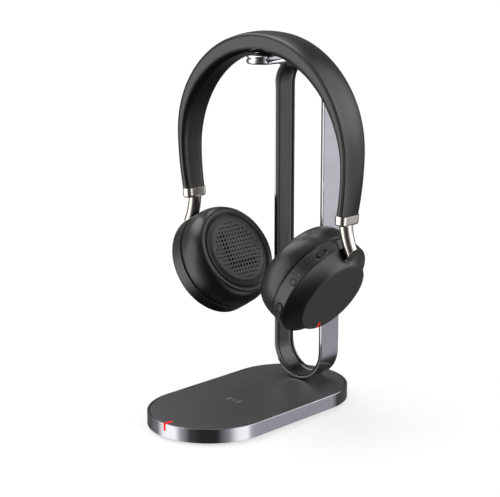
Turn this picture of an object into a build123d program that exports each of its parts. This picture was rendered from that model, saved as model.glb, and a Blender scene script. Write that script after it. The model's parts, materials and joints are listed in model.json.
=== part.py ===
from build123d import *
import os
from math import acos, cos, degrees, radians, sin, sqrt

# Office headset hanging on its wireless-charging stand. Millimetres, +Z up.
# Origin: centre of the stand's underside. -Y is the front of the stand, +X the side of the
# ear cup that carries the controls. The headset is the same left and right of X = 0.

PAST = 1.0               # how far a cutting tool runs past what it cuts
DIAGONAL = sqrt(0.5)

# ---- stand base -------------------------------------------------------------------------
BASE_R = 40.0            # radius of the base's two round ends
BASE_STRAIGHT = 71.3     # straight length between those ends
BASE_H = 9.7
FOOT_R = 35.0            # rubber pad under the base
FOOT_H = 1.0
PLATE_TOP = 2.4
BAND_WALL = 1.5          # metal band around the base
COVER_GAP = 0.1          # seam between the band and what it holds
COVER_BOTTOM = 7.6
COVER_TOP = 9.6
COVER_EDGE = 0.5
BAND_EDGE = 0.35
BALLAST_HALF_W = 25.0
BALLAST_Y = (8.0, 60.0)
BALLAST_TOP = 6.4
COIL_Y = -14.9
COIL_R = (9.0, 20.0)
COIL_Z = (6.4, 7.5)
BOARD_HALF_W = 8.6
BOARD_Y = (61.0, 71.4)
BOARD_Z = (2.6, 3.6)
MARK_HALF_W = 0.9        # red marker let into the front end of the base
MARK_REACH = 6.0
MARK_DEPTH = 0.35
MARK_LOW_Z = 5.2
MARK_TOP = 9.72

# ---- USB-C inlet (base and right ear cup) ---------------------------------------------------
USB_W = 8.94
USB_H = 3.26
USB_WALL = 0.3
USB_LEN = 7.2
USB_TONGUE_W = 6.6
USB_TONGUE_H = 0.7
USB_BACK = 1.0
USB_TONGUE_LEN = 4.6
USB_MOUTH_MARGIN = 0.25
USB_INSET = 0.3          # how far the mouth stands back from the wall around it

# ---- screws ---------------------------------------------------------------------------------
BASE_SCREW_R = 1.5
BASE_SCREW_HEAD_R = 2.7
BASE_SCREW_HEAD_H = 0.9
SCREW_CAP = 1.0          # what is left of the boss above a screw's tip
BASE_SCREW_SPOTS = [(-27.0, -36.0), (27.0, -36.0), (-27.0, 30.0), (27.0, 30.0)]
RING_SCREW_Y = (50.0, 58.2)
RING_SCREW_HEAD_Z = (2.5, 4.3)

# ---- ring upright ---------------------------------------------------------------------------
RING_HALF_W = 21.25
RING_WALL = 1.25
RING_FRONT = 45.9
RING_REAR = 63.0
RING_BOTTOM = 10.0
RING_TOP = 225.0
RING_EDGE = 0.3
LINER_GAP = 0.05
LINER_INNER = 18.5       # half-width between the liner's raised rims
LINER_DISH = 1.0         # how deep the liner is hollowed between them
LINER_COVE_R = 5.0       # round along both sides of the hollow
LINER_INSET = 0.25
LINER_RIM = 1.2
RING_LOW_C = RING_BOTTOM + RING_HALF_W
RING_HIGH_C = RING_TOP - RING_HALF_W
RING_MID_Y = (RING_FRONT + RING_REAR) / 2
RING_FOOT_HALF_W = 9.5
RING_FOOT_INSET = 2.0
RING_FOOT_H = 3.4

# ---- hook -------------------------------------------------------------------------------------
HEAD_Y = 15.85           # the headset's middle plane, across its headband
HOOK_FRONT = 1.0
HOOK_REAR = 61.0
HOOK_HALF_W = 9.4
HOOK_NECK_HALF_W = 5.8
HOOK_HEAD_REAR = 33.0
HOOK_TOP = 227.2
HOOK_LOW = 221.7
HOOK_TONGUE_Z = (218.5, 221.1)
HOOK_EDGE = 1.9
HOOK_GROOVE_Z = (225.15, 225.5)   # parts the thin upper rim from the round bar below it
HOOK_GROOVE_DEPTH = 1.6
HOOK_RIM_EDGE = 0.75
HOOK_BAR_EDGE = 1.65
HOOK_SLOT = [(25.0, 224.5), (33.0, 223.7), (38.0, 221.9), (32.0, 222.9), (26.0, 223.4)]   # Y, Z
HOOK_SLOT_DEPTH = 1.5
HOOK_NECK_TOP_Y = (30.0, 41.2)    # where the neck's upper side starts and ends its slope
HOOK_NECK_LOW_Y = (24.6, 35.0)    # the same on its lower side
SEAT_HALF_W = 6.6        # black saddle let into the hook's top
SEAT_Y = (3.8, 29.5)
SEAT_LOW = 223.6
SEAT_GAP = 0.4           # between the saddle and the headband that rests on it
CARRIER_HALF = (4.0, 4.4)
CARRIER_Z = (225.5, 227.3)
CARRIER_GAP = 0.35
PIN_X = 2.0
PIN_R = 0.75
PIN_ROOT = 1.0           # how deep each pin sits in the carrier
PIN_TIP = 228.1
SPRING_R = 1.1
SPRING_WIRE_R = 0.16
SPRING_TURNS = 3.5
HOOK_SCREW_Y = (49.0, 58.0)
HOOK_SCREW_R = 1.2
HOOK_SCREW_HEAD_R = 2.2
HOOK_SCREW_HEAD_H = 1.0

# ---- headband -------------------------------------------------------------------------------
ARCH_OUT_R = 72.4        # upper arch, outer side
ARCH_OUT_Z = 169.2
BRANCH_OUT_R = 200.0     # branches below it curve gently inwards
ARCH_IN_R = 65.5
ARCH_IN_Z = 163.0
BRANCH_IN_R = 122.5
BAND_HALF_TOP = 11.0     # half-width along Y over the arch, and at the ends
BAND_HALF_MID = 9.6
BAND_HALF_END = 8.4
BAND_WIDE_Z = 212.0
BAND_MID_Z = 172.0
BAND_END_Z = 134.0
BAND_FLOOR_Z = 124.0     # below the ends, where the outlines are closed before they are cut
COVER_LAYER = 2.5        # outer wrap over the seam
STRIP_DEPTH = 3.4        # steel strip, from the outer surface
STRIP_T = 0.8
STRIP_HALF_W = 6.0
STRIP_END_Z = 178.0
PAD_CONTACT_HALF = (1.2, 2.4)
PAD_CONTACT_Z = (228.42, 229.0)

# ---- size-adjusting slides ----------------------------------------------------------------------
SLIDE_TILT = 4.8         # degrees, top of the slide leans outwards
END_X = 65.85            # middle of the headband's end face
END_Z = 135.3
STEM_T = 2.0
STEM_W = 8.0
STEM_LEN = 38.0
STEM_PLAY = 0.35
GUIDE_T = 4.4
GUIDE_W = 11.0
GUIDE_LEN = 14.0
COLLAR_GAP = 0.3
COLLAR_T = 8.2
COLLAR_W = 16.8
COLLAR_LEN = 6.2
COLLAR_CORNER = 3.2
COLLAR_EDGE = 1.6

# ---- arms --------------------------------------------------------------------------------------
ARM_R = 4.2
ARM_PATH = [(64.75, 130.2), (66.95, 118.4), (71.6, 108.1)]   # X, Z of the rod's middle line
ARM_CUT = 7.25           # the rod's end is cut parallel to the cup's disc, this far out

# ---- ear cups: axis tilted down by CUP_TILT, x up the cup, y to the front, z outwards -------------
CUP_TILT = 30.5
CUP_X = 47.56
CUP_Z = 85.8
RIM_R = 34.0
RIM_IN = -8.0
RIM_OUT = 1.0
RIM_ROUND = 0.7
SHELL_WALL = 1.8
CONE_MID = (28.8, 4.6)   # the cone's hollow, radius and height
CONE_TOP = (25.45, 8.9)
DISC_R = 25.25
DISC_TOP = 9.3
DISC_T = 1.6
DISC_EDGE = 0.35
DISC_GAP = 0.1
FLOOR_T = 1.6
POST_R = 2.2
POST_SPOT_R = 28.4
POST_ANGLES = [88, 208, 328]
POST_Z = (-6.3, 2.7)
CUP_SCREW_R = 0.9
CUP_SCREW_HEAD_R = 1.7
CUP_SCREW_Z = (-7.9, -7.1, -1.5)

# pivot between arm and cup
PIVOT = (25.5, -1.5)     # cup x, z of the tilt pin
PIVOT_REACH = 10.66      # from the pin to the rod's middle line
EYE_R = 3.0
LUG_HALF = 1.5
LUG_W = 4.4
PIN_BORE_PLAY = 0.05
TILT_PIN_R = 1.25
EAR_GAP = 0.35
EAR_T = 1.5
YOKE_DROP = 3.6
YOKE_BRIDGE = 2.4
STUD_R = 2.4
STUD_LEN = 7.4
STUD_FLANGE_R = 3.3
STUD_FLANGE_H = 1.3
SOCKET_TOP = 18.2
SOCKET_LEN = 4.6
SOCKET_HALF_W = 5.2
SCOOP_DEPTH = 5.8        # hollow in the housing around the rod's end
SCOOP_HALF_W = 7.5
SCOOP_LEN = (16.0, 8.4)
SCOOP_ROUND = 2.0        # at its closed end
SCOOP_WALL = 1.2
SLOT_SPAN = (-2.8, 4.1)
SLOT_HALF = 3.0

# cushion side
BAFFLE_R = 32.0
BAFFLE_Z = (-8.0, -6.4)
NECK_R = (27.0, 29.8)
NECK_IN = -11.0
CUSHION_BACK = -8.4
CUSHION_HOLE_R = 24.6
CUSHION_OUTLINE = [(32.9, -8.4), (33.6, -12.0), (33.7, -16.6), (32.1, -21.7), (30.0, -24.8), (28.0, -26.6),
                   (26.2, -26.7), (24.6, -25.0)]
CUSHION_FLOOR = -11.4
SCRIM_R = 24.3           # perforated pad over the speaker
SCRIM_Z = (-26.0, -23.0)
DRIVER_X = -4.0
DRIVER_R = 14.0
DRIVER_Z = (-6.2, -2.6)
MAGNET_R = 7.6
MAGNET_TOP = 0.2
SOUND_HOLE_R = 1.6
SOUND_RING_R = 8.0
SOUND_HOLES = 8

# right cup's controls, angle from the top of the cup towards its front
BUTTON_PLAY = 0.3
BUTTON_PROUD = 0.35
BUTTON_FLANGE = 0.6
BUTTON_FLANGE_R = (29.0, 29.8)
CALL_ANGLE = 71.0
CALL_Z = -2.3
CALL_R = 1.85
VOLUME_ANGLES = {"volume_up_button": 106.0, "volume_down_button": 118.5}
VOLUME_Z = -1.9
VOLUME_SIZE = (6.0, 3.4)
VOLUME_PLAY = 0.55
VOLUME_PROUD = 0.6
SWITCH_ANGLE = 30.2
SWITCH_Z = -2.9
SWITCH_WELL = (9.3, 3.6)
SWITCH_WELL_R = 33.1
SWITCH_KNOB = (4.4, 2.9)
SWITCH_KNOB_R = (33.3, 34.05)
SWITCH_SLOT = (5.8, 1.8)
SWITCH_NECK = (2.6, 1.1)
SWITCH_FLANGE = (5.6, 3.4)
SWITCH_FLANGE_R = (30.4, 31.2)
SWITCH_RIBS = 3
SWITCH_RIB_PITCH = 0.9
MIC_ANGLE = 47.6
MIC_Z = -2.9
MIC_HOLE_R = 0.55
MIC_R = 2.0
MIC_SPAN = (29.6, 31.6)
LIGHT_ANGLE = 61.6
LIGHT_Z = -2.5
LIGHT_R = 0.7
LIGHT_SPAN = (29.8, 34.0)
PORT_ANGLE = -100.0
PORT_Z = -3.1
PORT_INSET = 0.6         # stands back further, because the rim is round
BOARD_R = 25.0
CUP_BOARD_Z = (1.4, 2.4)
CUP_BOARD_EDGE_X = 8.0
BATTERY_SIZE = (26.0, 30.0, 3.8)
BATTERY_X = -7.0
BATTERY_LOW = 1.2
RED_LINE = (20.5, 0.65)  # red radial line on the disc: where it starts, half its width
RED_DEPTH = 0.4


def stadium(radius, low, high):
    """Flat prism with round ends, long along Y."""
    outline = SlotCenterToCenter(BASE_STRAIGHT, 2 * radius, rotation=90)
    return Pos(0, 0, low) * extrude(outline, high - low)


def block(x, y, z):
    """Box from three (low, high) spans."""
    size = Box(x[1] - x[0], y[1] - y[0], z[1] - z[0])
    return Pos((x[0] + x[1]) / 2, (y[0] + y[1]) / 2, (z[0] + z[1]) / 2) * size


def rod(x, y, radius, low, high):
    """Upright cylinder."""
    return Pos(x, y, (low + high) / 2) * Cylinder(radius, high - low)


def usb_receptacle():
    """USB-C receptacle along Y, its mouth at the origin facing +Y."""
    outer = extrude(Plane.XZ * SlotOverall(USB_W, USB_H), USB_LEN)
    inner = extrude(Plane.XZ * SlotOverall(USB_W - 2 * USB_WALL, USB_H - 2 * USB_WALL), USB_LEN - USB_BACK)
    back_y = USB_BACK - USB_LEN
    tongue = block((-USB_TONGUE_W / 2, USB_TONGUE_W / 2), (back_y, back_y + USB_TONGUE_LEN),
                   (-USB_TONGUE_H / 2, USB_TONGUE_H / 2))
    return outer - inner + tongue


def usb_opening():
    """Tool for the opening in a wall around the receptacle."""
    margin = 2 * USB_MOUTH_MARGIN
    return Pos(0, USB_LEN, 0) * extrude(Plane.XZ * SlotOverall(USB_W + margin, USB_H + margin), 2 * USB_LEN)


# ---- stand ------------------------------------------------------------------------------------

def racetrack(profile):
    """Carry a profile (x = distance from the ring's middle, y) once around the upright ring."""
    face = Pos(0, 0, RING_LOW_C) * profile
    leg = extrude(face, RING_HIGH_C - RING_LOW_C)
    low_end = revolve(face, Axis((0, 0, RING_LOW_C), (0, 1, 0)), 180)
    high_end = revolve(Pos(0, 0, RING_HIGH_C) * profile, Axis((0, 0, RING_HIGH_C), (0, 1, 0)), -180)
    return leg + mirror(leg, Plane.YZ) + low_end + high_end


def ring_band_profile():
    inner = RING_HALF_W - RING_WALL
    corner = RING_HALF_W - RING_EDGE
    points = [(inner, RING_FRONT), (corner, RING_FRONT), (RING_HALF_W, RING_FRONT + RING_EDGE),
              (RING_HALF_W, RING_REAR - RING_EDGE), (corner, RING_REAR), (inner, RING_REAR)]
    return make_face(Polyline(*points, close=True))


def ring_liner_profile():
    outer = RING_HALF_W - RING_WALL - LINER_GAP
    front = RING_FRONT + LINER_INSET
    rear = RING_REAR - LINER_INSET
    turn = degrees(acos(1 - LINER_DISH / LINER_COVE_R))
    centre = LINER_INNER + LINER_DISH - LINER_COVE_R
    front_y = front + LINER_RIM + LINER_COVE_R * sin(radians(turn))
    rear_y = rear - LINER_RIM - LINER_COVE_R * sin(radians(turn))
    front_cove = CenterArc((centre, front_y), LINER_COVE_R, -turn, turn)
    rear_cove = CenterArc((centre, rear_y), LINER_COVE_R, 0, turn)
    hollow = front_cove + Line(front_cove @ 1, rear_cove @ 0) + rear_cove
    sides = Polyline(front_cove @ 0, (LINER_INNER, front), (outer, front), (outer, rear), (LINER_INNER, rear),
                     rear_cove @ 1)
    return make_face(hollow + sides)


def ring_screws():
    head_low, head_high = RING_SCREW_HEAD_Z
    tip = RING_BOTTOM + RING_WALL
    screws = [rod(0, y, BASE_SCREW_HEAD_R, head_low, head_high) + rod(0, y, BASE_SCREW_R, head_high, tip)
              for y in RING_SCREW_Y]
    return screws


def base_screws():
    screws = []
    for x, y in BASE_SCREW_SPOTS:
        head = rod(x, y, BASE_SCREW_HEAD_R, FOOT_H, FOOT_H + BASE_SCREW_HEAD_H)
        shank = rod(x, y, BASE_SCREW_R, FOOT_H + BASE_SCREW_HEAD_H, COVER_BOTTOM - SCREW_CAP)
        screws.append(head + shank)
    return screws


def red_marker():
    """L-shaped inlay: back along the top from the front edge, and down the side."""
    front = -(BASE_R + BASE_STRAIGHT / 2)
    half = (-MARK_HALF_W, MARK_HALF_W)
    on_top = block(half, (front, front + MARK_REACH), (BASE_H - MARK_DEPTH, MARK_TOP))
    on_side = block(half, (front, front + MARK_DEPTH), (MARK_LOW_Z, MARK_TOP))
    return on_top + on_side


def make_base():
    inner_r = BASE_R - BAND_WALL
    fill_r = inner_r - COVER_GAP
    marker = red_marker()
    inlet_y = BASE_R + BASE_STRAIGHT / 2
    inlet_z = BOARD_Z[1] + USB_H / 2
    inlet_place = Pos(0, inlet_y - USB_INSET, inlet_z)

    band = stadium(BASE_R, FOOT_H, BASE_H)
    top_edges = band.edges().group_by(Axis.Z)[-1]
    band = chamfer(top_edges, BAND_EDGE) - stadium(inner_r, FOOT_H, BASE_H)
    band = band - marker - inlet_place * usb_opening()

    cover = stadium(fill_r, COVER_BOTTOM, COVER_TOP)
    cover = fillet(cover.edges().group_by(Axis.Z)[-1], COVER_EDGE)
    for x, y in BASE_SCREW_SPOTS:
        cover = cover + rod(x, y, 2 * BASE_SCREW_R, PLATE_TOP, COVER_BOTTOM)
        cover = cover - rod(x, y, BASE_SCREW_R, PLATE_TOP, COVER_BOTTOM - SCREW_CAP)
    screws = base_screws()
    fixings = ring_screws()
    plate = stadium(fill_r, FOOT_H, PLATE_TOP)
    ballast = block((-BALLAST_HALF_W, BALLAST_HALF_W), BALLAST_Y, (PLATE_TOP, BALLAST_TOP))
    for screw in screws:
        plate = plate - screw
    for x, y in BASE_SCREW_SPOTS:
        ballast = ballast - rod(x, y, 2 * BASE_SCREW_R + COVER_GAP, PLATE_TOP, BALLAST_TOP)
    for screw in fixings:
        cover = cover - screw
        ballast = ballast - screw

    coil = rod(0, COIL_Y, COIL_R[1], *COIL_Z) - rod(0, COIL_Y, COIL_R[0], *COIL_Z)
    board = block((-BOARD_HALF_W, BOARD_HALF_W), BOARD_Y, BOARD_Z)
    return {
        "base_foot_pad": stadium(FOOT_R, 0, FOOT_H),
        "base_bottom_plate": plate,
        "base_band": band,
        "base_cover": cover - marker,
        "base_ballast": ballast,
        "charging_coil": coil,
        "base_circuit_board": board,
        "base_usb_inlet": inlet_place * usb_receptacle(),
        "base_screws": Compound(screws),
        "base_red_marker": marker,
        "ring_screws": Compound(fixings),
    }


def make_ring(fixings):
    band = racetrack(ring_band_profile())
    liner = racetrack(ring_liner_profile())
    outer_low = Pos(0, RING_MID_Y, RING_LOW_C) * Rot(90, 0, 0) * Cylinder(RING_HALF_W, 4 * BASE_H)
    foot_y = (RING_FRONT + RING_FOOT_INSET, RING_REAR - RING_FOOT_INSET)
    foot = block((-RING_FOOT_HALF_W, RING_FOOT_HALF_W), foot_y, (COVER_TOP, COVER_TOP + RING_FOOT_H))
    foot = foot - outer_low
    for screw in fixings:
        band = band - screw
        foot = foot - screw
    return {"ring_band": band, "ring_liner": liner, "ring_foot": foot}


def seat_space(gap):
    """Everything on and above the headband's underside, lowered by gap."""
    return arch(ARCH_IN_R - gap, ARCH_IN_Z, HOOK_FRONT, SEAT_Y[1] + HEAD_Y)


def arch(radius, centre_z, y_low, y_high):
    """Block over a round arch of this radius, for cutting a part to fit under it."""
    over = block((-2 * HOOK_HALF_W, 2 * HOOK_HALF_W), (y_low, y_high), (HOOK_LOW, HOOK_TOP + ARCH_IN_R))
    under = Pos(0, (y_low + y_high) / 2, centre_z) * Rot(90, 0, 0) * Cylinder(radius, 2 * (y_high - y_low))
    return over - under


def hook_layer(shrink, low, high):
    """Round-ended slab of the hook's head, this much smaller all round."""
    length = HOOK_HEAD_REAR - HOOK_FRONT
    plan = SlotCenterToCenter(length - 2 * HOOK_HALF_W, 2 * (HOOK_HALF_W - shrink), rotation=90)
    return Pos(0, HOOK_FRONT + length / 2, low) * extrude(plan, high - low)


def hook_head():
    """The part of the hook under the headband: a thin rim over a round bar, with a groove between them."""
    low, high = HOOK_GROOVE_Z
    rim = hook_layer(0, high, HOOK_TOP)
    bar = hook_layer(0, HOOK_LOW, low)
    rim = fillet(rim.edges().filter_by(Plane.XY), HOOK_RIM_EDGE)
    bar = fillet(bar.edges().filter_by(Plane.XY), HOOK_BAR_EDGE)
    return rim + bar + hook_layer(HOOK_GROOVE_DEPTH, low - HOOK_BAR_EDGE, high + HOOK_RIM_EDGE)


def hook_neck():
    """From the head down to a tongue inside the ring, seen from the side."""
    low, high = HOOK_TONGUE_Z
    start = HOOK_HEAD_REAR - HOOK_HALF_W
    top_z = HOOK_TOP - HOOK_EDGE
    low_z = HOOK_LOW + HOOK_EDGE
    points = [(start, top_z), (HOOK_NECK_TOP_Y[0], top_z), (HOOK_NECK_TOP_Y[1], high), (HOOK_REAR, high),
              (HOOK_REAR, low), (HOOK_NECK_LOW_Y[1], low), (HOOK_NECK_LOW_Y[0], low_z), (start, low_z)]
    side = Plane.YZ * make_face(Polyline(*points, close=True))
    slot = Plane.YZ * make_face(Polyline(*HOOK_SLOT, close=True))
    neck = Pos(-HOOK_NECK_HALF_W, 0, 0) * extrude(side, 2 * HOOK_NECK_HALF_W)
    for x in (-HOOK_NECK_HALF_W, HOOK_NECK_HALF_W - HOOK_SLOT_DEPTH):
        neck = neck - Pos(x, 0, 0) * extrude(slot, HOOK_SLOT_DEPTH)
    return neck


def charge_springs():
    height = CARRIER_Z[0] - SEAT_LOW - 2 * SPRING_WIRE_R
    springs = []
    for x in (-PIN_X, PIN_X):
        coil = Helix(pitch=height / SPRING_TURNS, height=height, radius=SPRING_R)
        start = Plane(origin=coil @ 0, z_dir=coil % 0)
        wire = sweep(start * Circle(SPRING_WIRE_R), path=coil, is_frenet=True)
        springs.append(Pos(x, HEAD_Y, SEAT_LOW + SPRING_WIRE_R) * wire)
    return Compound(springs)


def make_hook(liner, band):
    frame = hook_head() + hook_neck()
    saddle_plan = SlotCenterToCenter(SEAT_Y[1] - SEAT_Y[0] - 2 * SEAT_HALF_W, 2 * SEAT_HALF_W, rotation=90)
    saddle_y = (SEAT_Y[0] + SEAT_Y[1]) / 2
    saddle = Pos(0, saddle_y, SEAT_LOW) * extrude(saddle_plan, HOOK_TOP + 2 * PAST - SEAT_LOW)
    frame = frame - saddle
    saddle = saddle - seat_space(SEAT_GAP)
    half_x, half_y = CARRIER_HALF
    well_x = half_x + CARRIER_GAP
    well_y = (HEAD_Y - half_y - CARRIER_GAP, HEAD_Y + half_y + CARRIER_GAP)
    well = block((-well_x, well_x), well_y, (SEAT_LOW, HOOK_TOP + 2 * PAST))
    carrier = block((-half_x, half_x), (HEAD_Y - half_y, HEAD_Y + half_y), CARRIER_Z)
    pins = [rod(x, HEAD_Y, PIN_R, CARRIER_Z[1] - PIN_ROOT, PIN_TIP) for x in (-PIN_X, PIN_X)]
    pins = [fillet(pin.edges().group_by(Axis.Z)[-1], PIN_R / 2) for pin in pins]
    carrier = carrier - pins[0] - pins[1]
    low, high = HOOK_TONGUE_Z
    screws = []
    for y in HOOK_SCREW_Y:
        tip = RING_TOP - RING_WALL / 2
        screw = rod(0, y, HOOK_SCREW_HEAD_R, low, low + HOOK_SCREW_HEAD_H) + rod(0, y, HOOK_SCREW_R, low, tip)
        screws.append(screw)
        frame = frame - screw
        liner = liner - screw
        band = band - screw
    return {
        "hook_frame": frame,
        "hook_saddle": saddle - well,
        "hook_screws": Compound(screws),
        "contact_carrier": carrier,
        "charge_pins": Compound(pins),
        "contact_springs": charge_springs(),
        "ring_liner": liner,
        "ring_band": band,
    }


# ---- headband ------------------------------------------------------------------------------------

def dome(depth):
    """Filled outline of the arch and its branches in XZ, this deep under the outer surface."""
    return outline(ARCH_OUT_R - depth, ARCH_OUT_Z, BRANCH_OUT_R - depth)


def under_dome():
    """Filled outline of the space under the headband."""
    return outline(ARCH_IN_R, ARCH_IN_Z, BRANCH_IN_R)


def outline(arch_r, arch_z, branch_r):
    """Half circle over two branches that curve gently inwards."""
    def branch_x(z):
        return arch_r - branch_r + sqrt(branch_r ** 2 - (arch_z - z) ** 2)
    floor_z = BAND_FLOOR_Z
    mid_z = (arch_z + floor_z) / 2
    top = ThreePointArc((arch_r, arch_z), (0, arch_z + arch_r), (-arch_r, arch_z))
    left = ThreePointArc((-arch_r, arch_z), (-branch_x(mid_z), mid_z), (-branch_x(floor_z), floor_z))
    base = Line((-branch_x(floor_z), floor_z), (branch_x(floor_z), floor_z))
    right = ThreePointArc((branch_x(floor_z), floor_z), (branch_x(mid_z), mid_z), (arch_r, arch_z))
    return make_face(top + left + base + right)


def across(face, half_width):
    """Extrude an XZ outline to this half-width each side of the headset's middle plane."""
    return Pos(0, HEAD_Y + half_width, 0) * extrude(Plane.XZ * face, 2 * half_width)


def band_width_tool():
    """The headband seen from the side: wide over the head, narrower towards its ends."""
    top_z = ARCH_OUT_Z + ARCH_OUT_R
    right_side = [(BAND_HALF_END, BAND_FLOOR_Z), (BAND_HALF_END, BAND_END_Z), (BAND_HALF_MID, BAND_MID_Z),
                  (BAND_HALF_TOP, BAND_WIDE_Z), (BAND_HALF_TOP, top_z)]
    left_side = [(-y, z) for y, z in reversed(right_side)]
    face = make_face(Polyline(*right_side, *left_side, close=True))
    return Pos(-ARCH_OUT_R, HEAD_Y, 0) * extrude(Plane.YZ * face, 2 * ARCH_OUT_R)


SLIDE = Plane(origin=(END_X, HEAD_Y, END_Z), x_dir=(cos(radians(SLIDE_TILT)), 0, -sin(radians(SLIDE_TILT))),
              z_dir=(sin(radians(SLIDE_TILT)), 0, cos(radians(SLIDE_TILT)))).location


def in_slide(shape):
    """Place a shape from the right slide's own axes: z up along the slide, x outwards."""
    return SLIDE * shape


def both(shape):
    """A right-hand shape and its mirror image."""
    return shape + mirror(shape, Plane.YZ)


def slab(thick, width, low, high):
    """Bar centred on the slide's axis."""
    return block((-thick / 2, thick / 2), (-width / 2, width / 2), (low, high))


def make_headband():
    width_tool = band_width_tool()
    below_end = both(in_slide(slab(4 * COLLAR_T, 4 * COLLAR_W, -4 * COLLAR_LEN, 0)))
    guide_body = in_slide(slab(GUIDE_T, GUIDE_W, 0, GUIDE_LEN))
    stem_space = in_slide(slab(STEM_T + 2 * STEM_PLAY, STEM_W + 2 * STEM_PLAY, -PAST, STEM_LEN + PAST))
    pockets = both(guide_body) + both(stem_space)
    whole = width_tool - below_end
    seam = across(dome(COVER_LAYER), BAND_HALF_TOP + PAST)
    cover = (across(dome(0), BAND_HALF_TOP + PAST) - seam) & whole
    pad = (seam - across(under_dome(), BAND_HALF_TOP + PAST)) & whole
    strip = across(dome(STRIP_DEPTH), STRIP_HALF_W) - across(dome(STRIP_DEPTH + STRIP_T), STRIP_HALF_W)
    strip = strip & block((-ARCH_OUT_R, ARCH_OUT_R), (HEAD_Y - STRIP_HALF_W, HEAD_Y + STRIP_HALF_W),
                          (STRIP_END_Z, ARCH_OUT_Z + ARCH_OUT_R))
    half_x, half_y = PAD_CONTACT_HALF
    contacts = [block((x - half_x, x + half_x), (HEAD_Y - half_y, HEAD_Y + half_y), PAD_CONTACT_Z)
                for x in (-PIN_X, PIN_X)]
    pad = pad - strip - pockets - contacts[0] - contacts[1]
    guide = guide_body - stem_space
    return {
        "headband_cover": cover - pockets,
        "headband_pad": pad,
        "headband_spring_strip": strip,
        "headband_contacts": Compound(contacts),
        "slide_guide_right": guide,
    }


# ---- arm, knuckle and ear cup, right-hand side -------------------------------------------------------

CUP = Plane(origin=(CUP_X, HEAD_Y, CUP_Z), x_dir=(sin(radians(CUP_TILT)), 0, cos(radians(CUP_TILT))),
            z_dir=(cos(radians(CUP_TILT)), 0, -sin(radians(CUP_TILT)))).location
REACH_X = cos(radians(CUP_TILT))      # from the tilt pin square to the rod's end, in cup axes
REACH_Z = sin(radians(CUP_TILT))
PIVOT_PLANE = Plane(origin=(PIVOT[0], 0, PIVOT[1]), x_dir=(REACH_X, 0, REACH_Z),
                    z_dir=(-REACH_Z, 0, REACH_X)).location


def in_cup(shape):
    return CUP * shape


def scoop(depth, half_width, extra):
    """The hollow around the rod's end: an oval groove along the rod, in cup axes."""
    back, front = SCOOP_LEN
    groove = extrude(Ellipse(depth, half_width), back + front + extra)
    groove = fillet(groove.edges().group_by(Axis.Z)[-1], SCOOP_ROUND)
    return PIVOT_PLANE * Pos(PIVOT_REACH, 0, -back) * groove


def pin_along_y(radius, half_length):
    return Pos(PIVOT[0], 0, PIVOT[1]) * Rot(90, 0, 0) * Cylinder(radius, 2 * half_length)


def make_arm():
    path = ThreePointArc(*[(x, HEAD_Y, z) for x, z in ARM_PATH])
    bar = sweep(Plane(origin=path @ 0, z_dir=path % 0) * Circle(ARM_R), path=path)
    lug = pin_along_y(EYE_R, LUG_HALF)
    lug = lug + PIVOT_PLANE * block((0, PIVOT_REACH - PAST), (-LUG_HALF, LUG_HALF), (-LUG_W / 2, LUG_W / 2))
    bore = pin_along_y(TILT_PIN_R + PIN_BORE_PLAY, 2 * LUG_HALF)
    beyond = Pos(0, 0, ARM_CUT) * block((-RIM_R, 2 * RIM_R), (-RIM_R, RIM_R), (0, RIM_R))
    arm = bar + in_cup(lug) - in_cup(bore) - in_cup(beyond)

    collar = extrude(RectangleRounded(COLLAR_T, COLLAR_W, COLLAR_CORNER), -COLLAR_LEN)
    collar = fillet(collar.edges().group_by(Axis.Z)[0], COLLAR_EDGE)
    collar = in_slide(Pos(0, 0, -COLLAR_GAP) * collar)
    stem = in_slide(slab(STEM_T, STEM_W, -COLLAR_LEN / 2, STEM_LEN))
    return {"arm_right": arm - collar, "collar_right": collar - stem, "arm_stem_right": stem}


def make_knuckle():
    ear_low = LUG_HALF + EAR_GAP
    ear_high = ear_low + EAR_T
    bridge_x = (PIVOT[0] - YOKE_DROP - YOKE_BRIDGE, PIVOT[0] - YOKE_DROP)
    eye_z = (PIVOT[1] - EYE_R, PIVOT[1] + EYE_R)
    yoke = block(bridge_x, (-ear_high, ear_high), eye_z)
    for low, high in ((-ear_high, -ear_low), (ear_low, ear_high)):
        eye = Pos(PIVOT[0], (low + high) / 2, PIVOT[1]) * Rot(90, 0, 0) * Cylinder(EYE_R, high - low)
        cheek = block((bridge_x[1], PIVOT[0]), (low, high), eye_z)
        yoke = yoke + eye + cheek
    stud_low = bridge_x[0] - STUD_LEN
    stud = Pos(0, 0, PIVOT[1]) * extrude(Plane.YZ.offset(stud_low) * Circle(STUD_R), STUD_LEN)
    flange = Pos(0, 0, PIVOT[1]) * extrude(Plane.YZ.offset(stud_low) * Circle(STUD_FLANGE_R), STUD_FLANGE_H)
    pin = pin_along_y(TILT_PIN_R, ear_high)
    return {"knuckle_right": in_cup(yoke + stud + flange - pin), "tilt_pin_right": in_cup(pin)}


def shell_outline():
    """Half section of the housing: rim, rounded edge, hollow cone, recess for the disc."""
    bevel = RIM_ROUND * (1 - DIAGONAL)
    edge_top = (RIM_R - RIM_ROUND, RIM_OUT)
    edge = ThreePointArc((RIM_R, RIM_OUT - RIM_ROUND), (RIM_R - bevel, RIM_OUT - bevel), edge_top)
    cone = ThreePointArc(edge_top, CONE_MID, CONE_TOP)
    seat_z = DISC_TOP - DISC_T
    rest = Polyline(CONE_TOP, (DISC_R + DISC_GAP, CONE_TOP[1]), (DISC_R + DISC_GAP, seat_z), (0, seat_z),
                    (0, RIM_IN), (RIM_R, RIM_IN), (RIM_R, RIM_OUT - RIM_ROUND))
    return make_face(Plane.XZ * (edge + cone + rest))


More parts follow.
